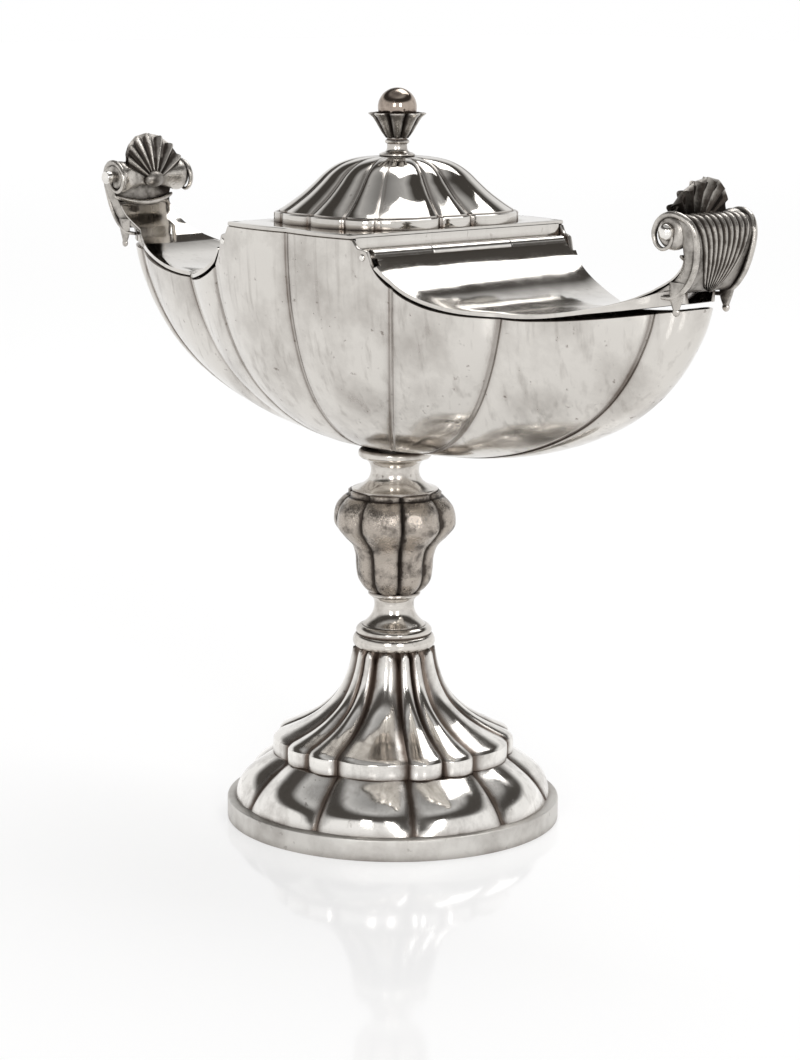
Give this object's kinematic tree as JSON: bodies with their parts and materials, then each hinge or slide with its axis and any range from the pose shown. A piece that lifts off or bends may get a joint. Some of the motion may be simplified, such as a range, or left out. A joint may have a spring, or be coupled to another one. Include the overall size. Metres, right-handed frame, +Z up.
{
  "type": "incense boat",
  "caption": "Silver incense boat: lobed hull on a knopped stem and fluted foot, a deck with a ribbed dome, and a hinged lid at either end with a scrolled prow and shell.",
  "frame": {"origin": "centre of the foot's underside", "axes": "+X along the boat towards the right-hand prow, +Y across the boat, +Z up"},
  "size_m": [0.2144, 0.0826, 0.18],
  "materials": {
    "hull_silver": "polished silver, softly worn, with tarnish spots",
    "lid_silver": "polished silver sheet",
    "deck_silver": "polished silver sheet",
    "dome_silver": "bright polished silver",
    "finial_silver": "polished silver, darker in the recesses",
    "foot_silver": "polished silver with tarnish in the recesses",
    "rim_silver": "satin silver with fine turning marks",
    "knop_silver": "cast silver, pitted and oxidised",
    "spool_silver": "turned silver",
    "prow_silver": "cast and chased silver, oxidised in the hollows",
    "pin_silver": "drawn silver wire and tube",
    "rod_steel": "threaded steel rod, dull",
    "nut_brass": "dull brass"
  },
  "bodies": {
    "boat": {"foot_rim": "rim_silver", "foot_dome": "foot_silver", "foot_washer": "nut_brass", "foot_nut": "nut_brass", "tie_rod": "rod_steel", "foot_neck_ring": "foot_silver", "lower_spool": "spool_silver", "knop": "knop_silver", "upper_spool": "spool_silver", "hull_socket": "spool_silver", "hull": "hull_silver", "deck_plate": "deck_silver", "dome_cover": "dome_silver", "finial_stem": "finial_silver", "finial_calyx": "finial_silver", "finial_ball": "finial_silver", "finial_screw": "rod_steel", "finial_nut": "nut_brass", "right_deck_knuckle": "pin_silver", "right_hinge_pin": "pin_silver", "left_deck_knuckle": "pin_silver", "left_hinge_pin": "pin_silver"},
    "right_lid": {"right_lid": "lid_silver", "right_prow_casting": "prow_silver", "right_prow_pin": "pin_silver", "right_prow_shell": "prow_silver", "right_prow_leaf": "prow_silver"},
    "left_lid": {"left_lid": "lid_silver", "left_prow_casting": "prow_silver", "left_prow_pin": "pin_silver", "left_prow_shell": "prow_silver", "left_prow_leaf": "prow_silver"}
  },
  "joints": [
    {"name": "right_lid_hinge", "type": "hinge", "parent": "boat", "child": "right_lid", "pos_m": [0.0256, 0, 0.1432], "axis": [0, -1, 0], "range_deg": [0, 90]},
    {"name": "left_lid_hinge", "type": "hinge", "parent": "boat", "child": "left_lid", "pos_m": [-0.0256, 0, 0.1432], "axis": [0, 1, 0], "range_deg": [0, 90]}
  ]
}
